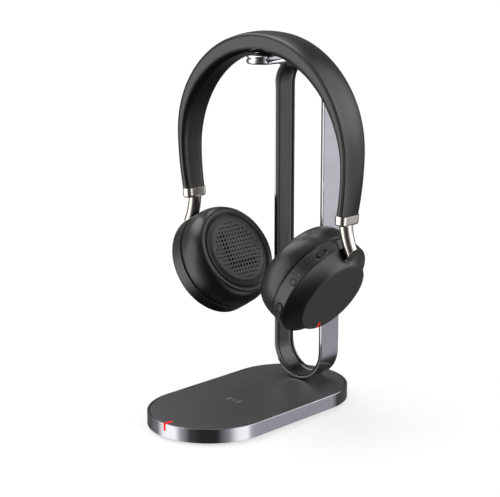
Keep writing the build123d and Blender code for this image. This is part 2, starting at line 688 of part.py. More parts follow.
def shell_space_outline():
    """Half section of the housing's inside."""
    floor_z = DISC_TOP - DISC_T - FLOOR_T
    inner = RIM_R - SHELL_WALL
    hollow = (CONE_MID[0] - SHELL_WALL * DIAGONAL, CONE_MID[1] - SHELL_WALL * DIAGONAL)
    cone = ThreePointArc((inner, RIM_OUT - SHELL_WALL), hollow, (CONE_TOP[0] - SHELL_WALL, floor_z))
    rest = Polyline((CONE_TOP[0] - SHELL_WALL, floor_z), (0, floor_z), (0, RIM_IN), (inner, RIM_IN),
                    (inner, RIM_OUT - SHELL_WALL))
    return make_face(Plane.XZ * (cone + rest))


def radial(angle, z, shape):
    """Turn a shape built along +x (x = distance from the cup's axis) to its place on the rim."""
    return Rot(0, 0, angle) * Pos(0, 0, z) * shape


def plug(outline_2d, span):
    """Extrude an outline (x around the rim, y across it) outwards between two distances."""
    return extrude(Plane.YZ.offset(span[0]) * outline_2d, span[1] - span[0])


def make_housing():
    """Right housing without its control openings."""
    body = revolve(shell_outline(), Axis.Z)
    space = revolve(shell_space_outline(), Axis.Z)
    space = space - scoop(SCOOP_DEPTH + SCOOP_WALL, SCOOP_HALF_W + SCOOP_WALL, SCOOP_WALL)
    shell = body - space - scoop(SCOOP_DEPTH, SCOOP_HALF_W, 0)
    slot = PIVOT_PLANE * block((EYE_R, PIVOT_REACH), (-SLOT_HALF, SLOT_HALF), SLOT_SPAN)
    shell = shell - slot

    socket_x = (SOCKET_TOP - SOCKET_LEN, SOCKET_TOP)
    socket_z = (PIVOT[1] - STUD_R - SHELL_WALL, DISC_TOP - DISC_T - FLOOR_T)
    socket = block(socket_x, (-SOCKET_HALF_W, SOCKET_HALF_W), socket_z)
    bore = plug(Circle(STUD_R + PIN_BORE_PLAY), (socket_x[0] - PAST, socket_x[1] + PAST))
    bore = Pos(0, 0, PIVOT[1]) * bore
    shell = shell + (socket - bore)
    for angle in POST_ANGLES:
        x = POST_SPOT_R * cos(radians(angle))
        y = POST_SPOT_R * sin(radians(angle))
        shell = shell + (rod(x, y, POST_R, *POST_Z) - rod(x, y, CUP_SCREW_R, POST_Z[0], CUP_SCREW_Z[2]))
    return shell


def cup_screws():
    head_low, head_high, tip = CUP_SCREW_Z
    screws = []
    for angle in POST_ANGLES:
        x = POST_SPOT_R * cos(radians(angle))
        y = POST_SPOT_R * sin(radians(angle))
        head = rod(x, y, CUP_SCREW_HEAD_R, head_low, head_high)
        screws.append(head + rod(x, y, CUP_SCREW_R, head_high, tip))
    return screws


def cushion_section():
    spline = Spline(*CUSHION_OUTLINE)
    neck_r = NECK_R[1] + COVER_GAP
    rest = Polyline(CUSHION_OUTLINE[-1], (CUSHION_HOLE_R, CUSHION_FLOOR), (neck_r, CUSHION_FLOOR),
                    (neck_r, CUSHION_BACK), CUSHION_OUTLINE[0])
    return make_face(Plane.XZ * (spline + rest))


def make_baffle(screws):
    neck = rod(0, 0, NECK_R[1], NECK_IN, BAFFLE_Z[0]) - rod(0, 0, NECK_R[0], NECK_IN, BAFFLE_Z[0])
    baffle = rod(0, 0, BAFFLE_R, *BAFFLE_Z) + neck
    for n in range(SOUND_HOLES):
        place = Rot(0, 0, 360 * n / SOUND_HOLES) * Pos(SOUND_RING_R, 0, 0)
        baffle = baffle - Pos(DRIVER_X, 0, 0) * place * rod(0, 0, SOUND_HOLE_R, *BAFFLE_Z)
    for screw in screws:
        baffle = baffle - screw
    return baffle


def red_line():
    """Radial red inlay at the bottom of the disc, over its edge."""
    start, half = RED_LINE
    return block((-DISC_R, -start), (-half, half), (DISC_TOP - RED_DEPTH, DISC_TOP))


def make_cup():
    """Parts that both cups share, right-hand side."""
    screws = cup_screws()
    disc = rod(0, 0, DISC_R, DISC_TOP - DISC_T, DISC_TOP)
    disc = chamfer(disc.edges().group_by(Axis.Z)[-1], DISC_EDGE)
    driver = rod(DRIVER_X, 0, DRIVER_R, *DRIVER_Z) + rod(DRIVER_X, 0, MAGNET_R, DRIVER_Z[1], MAGNET_TOP)
    pieces = {
        "cup_disc_right": disc,
        "cup_baffle_right": make_baffle(screws),
        "speaker_driver_right": driver,
        "cup_screws_right": Compound(screws),
        "ear_cushion_right": revolve(cushion_section(), Axis.Z),
        "ear_scrim_right": rod(0, 0, SCRIM_R, *SCRIM_Z),
    }
    return {name: in_cup(piece) for name, piece in pieces.items()}


def button(size_outline, flange_outline, proud):
    """Push button: a cap through the rim on a wider flange under the wall."""
    cap = plug(size_outline, (BUTTON_FLANGE_R[1], RIM_R + proud))
    cap = fillet(cap.edges().group_by(Axis.X)[-1], proud / 2)
    return cap + plug(flange_outline, BUTTON_FLANGE_R)


def make_controls(housing):
    """Cut the right housing for its controls, and make them. All in cup axes."""
    wall = (RIM_R - 2 * SHELL_WALL, RIM_R + PAST)
    pieces = {}
    call_hole = plug(Circle(CALL_R + BUTTON_PLAY), wall)
    housing = housing - radial(CALL_ANGLE, CALL_Z, call_hole)
    call = button(Circle(CALL_R), Circle(CALL_R + BUTTON_PLAY + BUTTON_FLANGE), BUTTON_PROUD)
    pieces["call_button"] = radial(CALL_ANGLE, CALL_Z, call)
    length, width = VOLUME_SIZE
    for name, angle in VOLUME_ANGLES.items():
        hole = plug(SlotOverall(length + 2 * VOLUME_PLAY, width + 2 * VOLUME_PLAY), wall)
        housing = housing - radial(angle, VOLUME_Z, hole)
        grow = 2 * (VOLUME_PLAY + BUTTON_FLANGE)
        key = button(SlotOverall(length, width), SlotOverall(length, width + grow), VOLUME_PROUD)
        pieces[name] = radial(angle, VOLUME_Z, key)

    well = plug(SlotOverall(*SWITCH_WELL), (SWITCH_WELL_R, RIM_R + PAST))
    slot = plug(SlotOverall(*SWITCH_SLOT), wall)
    housing = housing - radial(SWITCH_ANGLE, SWITCH_Z, well) - radial(SWITCH_ANGLE, SWITCH_Z, slot)
    knob = plug(SlotOverall(*SWITCH_KNOB), SWITCH_KNOB_R)
    for n in range(SWITCH_RIBS):
        spot = (n - (SWITCH_RIBS - 1) / 2) * SWITCH_RIB_PITCH
        knob = knob - Pos(SWITCH_KNOB_R[1], spot, 0) * Box(BUTTON_PROUD, SWITCH_RIB_PITCH / 2, SWITCH_KNOB[1])
    neck = plug(SlotOverall(*SWITCH_NECK), (SWITCH_FLANGE_R[1], SWITCH_KNOB_R[0]))
    knob = knob + neck + plug(SlotOverall(*SWITCH_FLANGE), SWITCH_FLANGE_R)
    pieces["power_switch"] = radial(SWITCH_ANGLE, SWITCH_Z, knob)

    housing = housing - radial(MIC_ANGLE, MIC_Z, plug(Circle(MIC_HOLE_R), wall))
    pieces["microphone"] = radial(MIC_ANGLE, MIC_Z, plug(Circle(MIC_R), MIC_SPAN))
    pipe = radial(LIGHT_ANGLE, LIGHT_Z, plug(Circle(LIGHT_R), LIGHT_SPAN))
    housing = housing - pipe
    pieces["status_light"] = pipe
    port_place = Rot(0, 0, PORT_ANGLE - 90) * Pos(0, RIM_R - PORT_INSET, PORT_Z)
    housing = housing - port_place * usb_opening()
    pieces["cup_usb_port"] = port_place * usb_receptacle()
    board = rod(0, 0, BOARD_R, *CUP_BOARD_Z)
    pieces["cup_circuit_board"] = board - block((CUP_BOARD_EDGE_X, BOARD_R), (-BOARD_R, BOARD_R), CUP_BOARD_Z)
    return housing, pieces


def make_headset():
    nodes = make_headband()
    nodes.update(make_arm())
    nodes.update(make_knuckle())
    nodes.update(make_cup())
    plain_housing = make_housing()
    nodes["cup_housing_right"] = in_cup(plain_housing)
    for name in [name for name in nodes if name.endswith("_right")]:
        nodes[name.replace("_right", "_left")] = mirror(nodes[name], Plane.YZ)
    line = in_cup(red_line()) & nodes["cup_disc_right"]
    nodes["disc_red_line"] = line
    nodes["cup_disc_right"] = nodes["cup_disc_right"] - line
    right_housing, controls = make_controls(plain_housing)
    nodes["cup_housing_right"] = in_cup(right_housing)
    nodes.update({name: in_cup(piece) for name, piece in controls.items()})
    length, width, height = BATTERY_SIZE
    battery = Pos(BATTERY_X, 0, BATTERY_LOW + height / 2) * Box(length, width, height)
    nodes["battery"] = mirror(in_cup(battery), Plane.YZ)
    return nodes


def make_all():
    nodes = make_base()
    nodes.update(make_ring(nodes["ring_screws"]))
    nodes.update(make_hook(nodes["ring_liner"], nodes["ring_band"]))
    nodes.update(make_headset())
    return nodes


os.makedirs("parts", exist_ok=True)
for node, shape in make_all().items():
    export_step(shape, f"parts/{node}.step")
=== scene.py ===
import json
from collections import namedtuple
from math import atan2, cos, hypot, pi, radians, sin, sqrt

import bmesh
import bpy
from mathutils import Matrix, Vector, noise


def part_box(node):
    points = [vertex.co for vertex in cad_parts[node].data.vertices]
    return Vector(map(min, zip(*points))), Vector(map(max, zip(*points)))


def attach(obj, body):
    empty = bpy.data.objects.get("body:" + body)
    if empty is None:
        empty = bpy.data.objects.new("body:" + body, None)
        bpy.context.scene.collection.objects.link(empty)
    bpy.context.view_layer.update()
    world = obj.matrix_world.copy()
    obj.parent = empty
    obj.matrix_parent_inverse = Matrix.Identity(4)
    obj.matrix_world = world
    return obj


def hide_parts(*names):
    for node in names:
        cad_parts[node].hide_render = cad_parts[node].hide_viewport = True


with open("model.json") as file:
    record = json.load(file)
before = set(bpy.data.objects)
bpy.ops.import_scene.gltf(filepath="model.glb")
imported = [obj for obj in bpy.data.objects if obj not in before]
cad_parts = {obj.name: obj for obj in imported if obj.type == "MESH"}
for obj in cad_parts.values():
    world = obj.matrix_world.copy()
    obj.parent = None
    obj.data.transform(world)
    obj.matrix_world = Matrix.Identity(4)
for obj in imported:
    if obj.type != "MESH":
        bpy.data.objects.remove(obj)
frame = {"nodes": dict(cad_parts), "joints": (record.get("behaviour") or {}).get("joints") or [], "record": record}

# An office headset on its charging stand. Lengths below are in millimetres, and MM turns them
# into Blender's metres as the meshes are made.

MM = 0.001
NODES = frame["nodes"]
JOINTS = {joint["name"]: joint for joint in frame["joints"]}
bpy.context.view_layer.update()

SHARP_ANGLE = radians(50)
MERGE_DISTANCE = 0.001
BEVEL_SAMPLES = 6
WEAR_TURN = (0.995, 0.8)           # cosine of the turn where wear starts, and where it is full
WORN_PLASTIC = (2.2, 0.01, 0.35)   # how much lighter a worn edge is (factor, offset), and its width
WORN_METAL = (1.6, 0.05, 0.3)
TINT_RANGE = (0.3, 0.7)            # the noise values that take a tint's two ends
PLASTIC_SCALES = (90, 400, 3500, 150)        # noise for mottling, gloss, grain and waviness
METAL_SCALES = (60, 700, 6000)               # noise for clouding, gloss and tooth
LEATHER_SCALES = (120, 2100, 260, 5200)      # noise for tint, cells of the grain, creases and fine tooth
CELL_SMOOTHNESS = 0.3

# ---- camera --------------------------------------------------------------------------------
VIEW_AZIMUTH = radians(43.29)
VIEW_ELEVATION = radians(13.13)
VIEW_DISTANCE = 936.7
VIEW_LENS = 104.25
VIEW_TARGET = (0.094, 103.54)      # along the picture's right and up directions

# ---- headband ------------------------------------------------------------------------------
HEAD_Y = (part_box("headband_cover")[0].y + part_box("headband_cover")[1].y) / 2 / MM
ARCH_OUT = (72.4, 169.2)           # radius, height of the centre
ARCH_IN = (65.5, 163.0)
BRANCH_OUT_R = 200.0
BRANCH_IN_R = 122.5
BAND_END = (65.85, 135.3)          # X, Z of the middle of the end face
BAND_END_TILT = radians(4.8)
BAND_WIDTH = [(134.0, 8.4), (172.0, 9.6), (212.0, 11.0)]     # height, half-width
BAND_STEPS = 90                    # from the middle of the arch to each end
WRAP_DEPTH = 2.45                  # the outer wrap's side, down to the seam
WRAP_CROWN = 1.1                   # how much higher the wrap is in its middle
WRAP_TOP_STEPS = 6
WRAP_EDGE = (0.95, 0.35)           # rounding of the wrap's edge, and how much it grows at the ends
WRAP_EDGE_SHARE = 0.25             # share of the half band over which it grows
COVER_GAP = 0.02                   # between the wrap and what it lies on
SEAM_WIDTH = 0.3
SEAM_DEPTH = 1.0
SEAM_START = pi / 9                # angle where the padding leaves the seam
PADDING_ROUND = (5.2, 5.6)         # the padding's rounding across the band and down
PADDING_ROUND_SHARE = (0.5, 0.62)  # the most of its half-width and of its depth that this takes
PADDING_SIDE_SHARE = 0.3           # share of the straight side left above the rounding
PADDING_STEPS = 4
CORNER_STEPS = 7
EDGE_START = 0.35                  # angle where the rounding takes over from the wrap's crown
WAVE = 0.05                        # how far the stuffed sides waver
WAVE_PITCH = (0.16, 0.25, 0.3)     # per step along, across and down
WAVE_FROM = 1.5                    # how far below the wrap's top the wavering starts
WAVE_MARGIN = 0.5                  # and how far above the inner side it stops

# ---- ear cups ------------------------------------------------------------------------------
PIVOT_IN_CUP = (25.5, -1.5)        # the swivel's pivot, up the cup and outwards
CUSHION_POINTS = [(24.3, -23.6), (24.9, -24.0), (26.0, -24.8), (27.5, -25.45), (29.1, -25.2), (30.8, -23.7),
                  (32.3, -21.0), (33.3, -17.8), (33.75, -14.8), (33.8, -10.9), (33.6, -9.3), (32.9, -8.4),
                  (28.4, -8.3), (25.6, -11.6), (24.4, -17.0), (24.2, -22.0)]
CUSHION_STEPS = 144
CUSHION_CURVE_STEPS = 4
PUCKER = 0.09
SEAMS = [(31.0, -9.2, 4.5), (25.0, -24.8, 3.0)]     # radius and height of each seam, reach of its gathers
GATHER = 2.2                       # depth of the gathers, in puckers
GATHER_PITCH = 19.8                # gathers over the unit circle
GATHER_SHIFT = Vector((0, 0, 0.88))
SAG = 1.6                          # depth of the broad unevenness, in puckers
SAG_PITCH = 0.09
SAG_FROM_R = 27
PAD_R = 24.25
PAD_TOP = -26.0
PAD_BACK = -23.1
PAD_BACK_R = PAD_R / 6             # the inner ring on the pad's back
PAD_FLAT_R = 20.8
PAD_DROP = 1.75                    # how far the pad falls away towards its edge
PAD_SIDES = 96
PAD_ROLL_STEPS = 8
PAD_FOOT = (0.5, 0.6)              # the chamfer at the pad's back
PAD_DISH = 0.35                    # depth of the hollow in the pad's top
PAD_DISH_R = 20.0
PAD_RIM = 0.15                     # plain rim kept between the grid of holes and the pad's flat edge
HOLE_PITCH = 2.68
HOLE_R = (0.62, 0.9)               # plain holes, and the ones over the speaker's own openings
HOLE_DEPTH = (2.0, 2.7)
HOLE_FIELD_R = 19.4
HOLE_SIDES = 16
HOLE_MERGE = 0.01                  # corners of neighbouring squares closer than this are joined

# ---- base pictogram ------------------------------------------------------------------------
SIGN_CENTRE = (0.0, -14.9)
SIGN_INK = 0.012                   # thickness of the print
SIGN_LIFT = 0.003                  # gap under it, so that two faces never coincide
SIGN_ARC_R = (3.7, 5.3)
SIGN_ARC_SPREAD = radians(33)      # each way from the arc's middle
SIGN_LINE = 0.42
SIGN_BOLT = [(0.55, 1.75), (-1.05, -0.25), (-0.15, -0.25), (-0.55, -1.75), (1.05, 0.25), (0.15, 0.25)]


# ---- meshes --------------------------------------------------------------------------------

def make_piece(name, points, faces, material, body):
    """A smooth-shaded mesh from points in millimetres, riding on a CAD body."""
    mesh = bpy.data.meshes.new(name)
    mesh.from_pydata([Vector(p) * MM for p in points], [], faces)
    tidy = bmesh.new()
    tidy.from_mesh(mesh)
    bmesh.ops.remove_doubles(tidy, verts=tidy.verts, dist=MERGE_DISTANCE * MM)
    bmesh.ops.recalc_face_normals(tidy, faces=tidy.faces)
    tidy.to_mesh(mesh)
    tidy.free()
    mesh.polygons.foreach_set("use_smooth", [True] * len(mesh.polygons))
    mesh.set_sharp_from_angle(angle=SHARP_ANGLE)
    mesh.materials.append(material)
    piece = bpy.data.objects.new(name, mesh)
    bpy.context.scene.collection.objects.link(piece)
    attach(piece, body)
    return piece


def grid_faces(rows, columns, wrap_rows=False):
    """Quads over a grid of points stored row by row. Each row is a closed loop."""
    faces = []
    for i in range(rows if wrap_rows else rows - 1):
        for j in range(columns):
            below = (i + 1) % rows
            beside = (j + 1) % columns
            faces.append((i * columns + j, i * columns + beside,
                          below * columns + beside, below * columns + j))
    return faces


def smooth_loop(points, steps):
    """Closed Catmull-Rom curve through 2-D points."""
    count = len(points)
    loop = []
    for i in range(count):
        p0, p1, p2, p3 = (Vector(points[(i + k) % count]) for k in (-1, 0, 1, 2))
        for s in range(steps):
            t = s / steps
            loop.append(0.5 * (2 * p1 + (p2 - p0) * t + (2 * p0 - 5 * p1 + 4 * p2 - p3) * t ** 2
                               + (3 * p1 - p0 - 3 * p2 + p3) * t ** 3))
    return loop


# ---- materials -----------------------------------------------------------------------------

class Graph:
    """A material's nodes, ending in one Principled shader."""

    def __init__(self, name, **sockets):
        self.material = bpy.data.materials.new(name)
        self.material.use_nodes = True
        self.nodes = self.material.node_tree.nodes
        self.links = self.material.node_tree.links
        self.shader = self.nodes["Principled BSDF"]
        for key, value in sockets.items():
            self.shader.inputs[key.replace("_", " ").title().replace("Ior", "IOR")].default_value = value
        self.place = self.nodes.new("ShaderNodeTexCoord").outputs["Object"]

    def add(self, kind, links=None, **values):
        """A node with linked inputs and set inputs or properties."""
        node = self.nodes.new("ShaderNode" + kind)
        for key, value in values.items():
            if hasattr(node, key):
                setattr(node, key, value)
            else:
                node.inputs[key.replace("_", " ").title()].default_value = value
        for key, source in (links or {}).items():
            self.links.new(source, node.inputs[key])
        return node

    def noise(self, scale, detail):
        node = self.add("TexNoise", {"Vector": self.place}, scale=scale, detail=detail)
        return node.outputs["Fac"]

    def cells(self, scale):
        node = self.add("TexVoronoi", {"Vector": self.place}, feature="SMOOTH_F1", scale=scale,
                        smoothness=CELL_SMOOTHNESS)
        return node.outputs["Distance"]

    def tint(self, color, spread, factor):
        """Base colour that varies by this share each way."""
        ramp = self.add("ValToRGB", {"Fac": factor})
        for element, position, share in zip(ramp.color_ramp.elements, TINT_RANGE, (1 - spread, 1 + spread)):
            element.position = position
            element.color = [min(1.0, c * share) for c in color] + [1]
        return ramp.outputs["Color"]

    def set_color(self, source):
        self.links.new(source, self.shader.inputs["Base Color"])

    def set_roughness(self, low, high, factor):
        spread = self.add("MapRange", {"Value": factor})
        spread.inputs["To Min"].default_value = low
        spread.inputs["To Max"].default_value = high
        self.links.new(spread.outputs["Result"], self.shader.inputs["Roughness"])

    def edge_wear(self, source, color, worn, reach):
        """Mix towards a lighter colour where the surface turns a sharp corner."""
        factor, offset, width = worn
        lighter = [min(1, factor * c + offset) for c in color]
        round_edge = self.add("Bevel", radius=width * MM, samples=BEVEL_SAMPLES)
        flat = self.add("NewGeometry")
        turn = self.add("VectorMath", operation="DOT_PRODUCT")
        self.links.new(round_edge.outputs["Normal"], turn.inputs[0])
        self.links.new(flat.outputs["Normal"], turn.inputs[1])
        mask = self.add("MapRange", {"Value": turn.outputs["Value"]})
        mask.inputs["From Min"].default_value = WEAR_TURN[0]
        mask.inputs["From Max"].default_value = WEAR_TURN[1]
        mask.inputs["To Max"].default_value = reach
        mix = self.add("MixRGB", {"Fac": mask.outputs["Result"], "Color1": source})
        mix.inputs["Color2"].default_value = (*lighter, 1)
        return mix.outputs["Color"]

    def bump(self, layers, bevel=0.0):
        """Stack of bumps, each (height, depth in mm, strength), over rounded edges."""
        normal = None
        if bevel:
            normal = self.add("Bevel", radius=bevel * MM, samples=BEVEL_SAMPLES).outputs["Normal"]
        for height, depth, strength in layers:
            node = self.add("Bump", {"Height": height}, strength=strength, distance=depth * MM)
            if normal:
                self.links.new(normal, node.inputs["Normal"])
            normal = node.outputs["Normal"]
        self.links.new(normal, self.shader.inputs["Normal"])


def moulded(name, color, roughness, spread=0.06, grain=0.25, bevel=0.15, wear=0.0, **sockets):
    """Moulded or soft-touch plastic: fine grain, faint mottling, softened edges."""
    mottling, gloss, tooth, waves = PLASTIC_SCALES
    graph = Graph(name, **sockets)
    base = graph.tint(color, spread, graph.noise(mottling, 3))
    if wear:
        base = graph.edge_wear(base, color, WORN_PLASTIC, wear)
    graph.set_color(base)
    graph.set_roughness(roughness - 0.05, roughness + 0.05, graph.noise(gloss, 4))
    graph.bump([(graph.noise(tooth, 3), 0.02, grain), (graph.noise(waves, 2), 0.03, 0.05)], bevel)
    return graph.material


def metal(name, color, roughness, spread=0.05, grain=0.12, bevel=0.12, wear=0.0):
    """Blasted or satin metal: fine tooth, slight clouding, polished edges."""
    clouding, gloss, tooth = METAL_SCALES
    graph = Graph(name, metallic=1.0)
    base = graph.tint(color, spread, graph.noise(clouding, 4))
    if wear:
        base = graph.edge_wear(base, color, WORN_METAL, wear)
    graph.set_color(base)
    graph.set_roughness(roughness - 0.04, roughness + 0.04, graph.noise(gloss, 5))
    graph.bump([(graph.noise(tooth, 2), 0.008, grain)], bevel)
    return graph.material


def leatherette(name, color, roughness, sheen=0.03):
    """Soft leatherette: pebbled grain of small cells with fine creases between them."""
    tint, cells, creases, tooth = LEATHER_SCALES
    graph = Graph(name, sheen_weight=sheen, sheen_roughness=0.45, sheen_tint=(0.8, 0.8, 0.85, 1))
    grain = graph.cells(cells)
    graph.set_color(graph.tint(color, 0.1, graph.noise(tint, 4)))
    graph.set_roughness(roughness - 0.06, roughness + 0.08, grain)
    graph.bump([(graph.noise(creases, 5), 0.06, 0.1), (grain, 0.05, 0.22),
                (graph.noise(tooth, 3), 0.01, 0.2)])
    return graph.material


SOFT_TOUCH = moulded("soft_touch_black", (0.018, 0.018, 0.0186), 0.32, grain=0.12, wear=0.1, bevel=0.7)
# Cup discs: a copy of the black soft-touch with painted light. Its colour is twice as light, so the discs, which
# face down, still show an even mid-grey. It is also rougher.
DISC_PAINTED_LIGHTER = moulded("disc_painted_lighter", (0.036, 0.036, 0.036), 0.62, grain=0.1, wear=0.15, bevel=0.2)
BASE_COAT = moulded("base_top_coat", (0.043, 0.043, 0.043), 0.34, spread=0.05, grain=0.12)
GUNMETAL = metal("gunmetal", (0.345, 0.345, 0.36), 0.10, grain=0.05, wear=0.2)
LINER = moulded("liner_plastic", (0.015, 0.015, 0.0155), 0.19, grain=0.015)
CHROME = metal("chrome", (0.80, 0.80, 0.81), 0.06, spread=0.02, grain=0.01, bevel=0.0)
SADDLE = moulded("saddle_plastic", (0.012, 0.012, 0.012), 0.4, bevel=0.3)
CHAMPAGNE = metal("champagne_metal", (0.60, 0.56, 0.50), 0.19, grain=0.06, wear=0.15, bevel=0.2)
LEATHER = leatherette("leatherette", (0.011, 0.011, 0.0114), 0.30, sheen=0.02)
SCRIM = leatherette("perforated_leatherette", (0.027, 0.027, 0.0277), 0.5)
CONTROL = moulded("control_plastic", (0.03, 0.03, 0.032), 0.42, bevel=0.2, wear=0.3)
SWITCH = moulded("switch_knob", (0.006, 0.006, 0.006), 0.5, bevel=0.15, wear=0.3)
INNER = moulded("inner_plastic", (0.02, 0.02, 0.021), 0.5)
RUBBER = moulded("rubber_pad", (0.018, 0.018, 0.018), 0.75, grain=0.5)
STEEL = metal("steel", (0.5, 0.5, 0.51), 0.3)
GOLD = metal("gold_contact", (0.83, 0.62, 0.28), 0.2)
COPPER = metal("copper_coil", (0.72, 0.36, 0.18), 0.3)
BOARD = moulded("circuit_board", (0.02, 0.12, 0.06), 0.4)
FOIL = moulded("battery_wrap", (0.45, 0.45, 0.47), 0.35)
DRIVER = metal("driver_metal", (0.3, 0.3, 0.31), 0.35)
# Red inlay: its emission is a painted glow that keeps the mark pure, bright red under any light, though the mark
# is no lamp.
RED_PAINTED_GLOW = moulded("red_inlay", (0.60, 0.001, 0.001), 0.6, spread=0.03, grain=0.05, bevel=0.05,
              specular_IOR_level=0.1, emission_color=(1, 0, 0, 1), emission_strength=0.8)
LIGHT_PIPE = moulded("light_pipe", (0.09, 0.09, 0.094), 0.2, grain=0.03)
PRINT = moulded("pictogram_print", (0.28, 0.28, 0.28), 0.5, bevel=0)

FINISHES = {
    "soft_touch_black": SOFT_TOUCH, "base_top_coat": BASE_COAT, "gunmetal": GUNMETAL, "liner_plastic": LINER,
    "chrome": CHROME, "saddle_plastic": SADDLE, "champagne_metal": CHAMPAGNE, "leatherette": LEATHER,
    "perforated_leatherette": SCRIM, "control_plastic": CONTROL, "inner_plastic": INNER, "rubber_pad": RUBBER,
    "steel": STEEL, "gold_contact": GOLD, "copper_coil": COPPER, "circuit_board": BOARD, "battery_wrap": FOIL,
    "driver_metal": DRIVER, "red_inlay": RED_PAINTED_GLOW, "light_pipe": LIGHT_PIPE,
}
# Single nodes whose material replaces the record's: the switch knob, and the cup discs' copy of the black
# soft-touch, painted lighter.
NODE_MATERIALS = {"cup_disc_right": DISC_PAINTED_LIGHTER, "cup_disc_left": DISC_PAINTED_LIGHTER, "power_switch": SWITCH}


def finish_cad_nodes():
    """Every CAD node takes the finish that the record gives it, except the power switch, which takes its knob's,
    and the cup discs, which take a copy of the black painted lighter.
    """
    for part in frame["record"]["subparts"]:
        mesh = NODES[part["node"]].data
        mesh.materials.clear()
        mesh.materials.append(NODE_MATERIALS.get(part["node"], FINISHES[part["material_slot"]]))


# ---- headband ------------------------------------------------------------------------------

Cut = namedtuple("Cut", "width thickness share")     # half-width, depth, place from end (0) to middle (1)


def side_curve(arch, branch_r):
    """The right half of a headband curve, from its end face to the middle of the arch."""
    radius, height = arch
    centre_x = radius - branch_r
    along = Vector((cos(BAND_END_TILT), -sin(BAND_END_TILT)))
    offset = Vector(BAND_END) - Vector((centre_x, height))
    half = offset.dot(along)
    reach = -half + sqrt(half ** 2 - offset.length_squared + branch_r ** 2)
    end = offset + along * reach
    end_angle = atan2(end.y, end.x)
    branch_length = -end_angle * branch_r
    length = branch_length + radius * pi / 2

    def at(share):
        run = share * length
        if run < branch_length:
            angle = end_angle + run / branch_r
            return Vector((centre_x + branch_r * cos(angle), height + branch_r * sin(angle)))
        angle = (run - branch_length) / radius
        return Vector((radius * cos(angle), height + radius * sin(angle)))
    return at


def half_width(z):
    """Half the headband's width at this height, with the corners of the taper smoothed."""
    (z0, w0), (z1, w1), (z2, w2) = BAND_WIDTH
    if z <= z1:
        return w0 + (w1 - w0) * max(0.0, z - z0) / (z1 - z0)
    share = min(1.0, (z - z1) / (z2 - z1))
    return w1 + (w2 - w1) * share * (2 - share)


def corner(centre_a, centre_d, radius_a, radius_d, start, end):
    """Quarter turn in a section: a across the headband, d down from its outer surface."""
    points = []
    for i in range(CORNER_STEPS + 1):
        angle = start + (end - start) * i / CORNER_STEPS
        points.append((centre_a + radius_a * sin(angle), centre_d - radius_d * cos(angle)))
    return points


def wrap_section(cut):
    """Right half of the outer wrap's section, from the middle of its top to under the seam."""
    width = cut.width
    edge = WRAP_EDGE[0] + WRAP_EDGE[1] * (1 - min(1.0, cut.share / WRAP_EDGE_SHARE)) ** 2
    flat = width - edge
    points = []
    for k in range(WRAP_TOP_STEPS):
        across = k / WRAP_TOP_STEPS
        points.append((flat * across, COVER_GAP + WRAP_CROWN * across ** 2))
    points += corner(flat, WRAP_CROWN + COVER_GAP + edge, edge, edge, EDGE_START, pi / 2)
    roll = SEAM_WIDTH
    points += corner(width - roll, WRAP_DEPTH - roll, roll, roll, pi / 2, pi)
    points += [(width - SEAM_DEPTH, WRAP_DEPTH), (width / 2, WRAP_DEPTH)]
    return points


def pad_section(cut):
    """Right half of the padding's section, from under the seam to beside the middle of its inner side."""
    width = cut.width
    top = WRAP_DEPTH + COVER_GAP
    roll = 2 * SEAM_WIDTH
    side = cut.thickness - top
    round_a = min(PADDING_ROUND[0], PADDING_ROUND_SHARE[0] * width)
    round_d = min(PADDING_ROUND[1], PADDING_ROUND_SHARE[1] * side)
    straight = max(0.0, side - round_d - roll)
    points = [(width / 2, top), (width - SEAM_DEPTH, top)]
    points += corner(width - roll, top + roll, roll, roll, SEAM_START, pi / 2)
    points.append((width, cut.thickness - round_d - PADDING_SIDE_SHARE * straight))
    points += corner(width - round_a, cut.thickness - round_d, round_a, round_d, pi / 2, pi)
    flat = width - round_a
    points += [(flat * k / PADDING_STEPS, cut.thickness) for k in reversed(range(1, PADDING_STEPS))]
    return points


def headband_piece(name, section, body):
    """Loft a section along the headband, from the left end over the top to the right end."""
    outer = side_curve(ARCH_OUT, BRANCH_OUT_R)
    inner = side_curve(ARCH_IN, BRANCH_IN_R)
    points = []
    for step in range(-BAND_STEPS, BAND_STEPS + 1):
        share = 1 - abs(step) / BAND_STEPS
        side = -1 if step < 0 else 1
        top = outer(share)
        low = inner(share)
        down = (low - top).normalized()
        thickness = (low - top).length
        half = section(Cut(half_width((top.y + low.y) / 2), thickness, share))
        off_middle = [(a, d) for a, d in half if a > 0]
        loop = half + [(-a, d) for a, d in reversed(off_middle)]
        for a, d in loop:
            if WAVE_FROM < d < thickness - WAVE_MARGIN:
                pitch = Vector((step, a, d)) * Vector(WAVE_PITCH)
                d += WAVE * noise.noise(pitch)
            spot = top + down * d
            points.append((side * spot.x, HEAD_Y + a, spot.y))
    columns = len(loop)
    rows = len(points) // columns
    faces = grid_faces(rows, columns)
    faces.append(tuple(range(columns)))
    faces.append(tuple((rows - 1) * columns + k for k in reversed(range(columns))))
    return make_piece(name, points, faces, LEATHER, body)


def make_headband():
    wrap = headband_piece("headband_wrap", wrap_section, "headset")
    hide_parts("headband_cover")
    padding = headband_piece("headband_padding", pad_section, "headset")
    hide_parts("headband_pad")


# ---- ear cups ------------------------------------------------------------------------------

def cup_frame(side):
    """Function from cup axes (x up the cup, y to the front, z outwards) to the object's frame."""
    swivel = JOINTS[side + "_cup_swivel"]
    axis = Vector(swivel["axis"]).normalized()
    sign = 1 if side == "right" else -1
    up = Vector((abs(axis.x) * sign, 0, abs(axis.z)))
    outwards = Vector((abs(axis.z) * sign, 0, -abs(axis.x)))
    front = Vector((0, -1, 0))
    pivot = Vector(swivel["pos_m"]) / MM
    origin = pivot - up * PIVOT_IN_CUP[0] - outwards * PIVOT_IN_CUP[1]

    def place(x, y, z):
        return origin + up * x + front * y + outwards * z
    return place


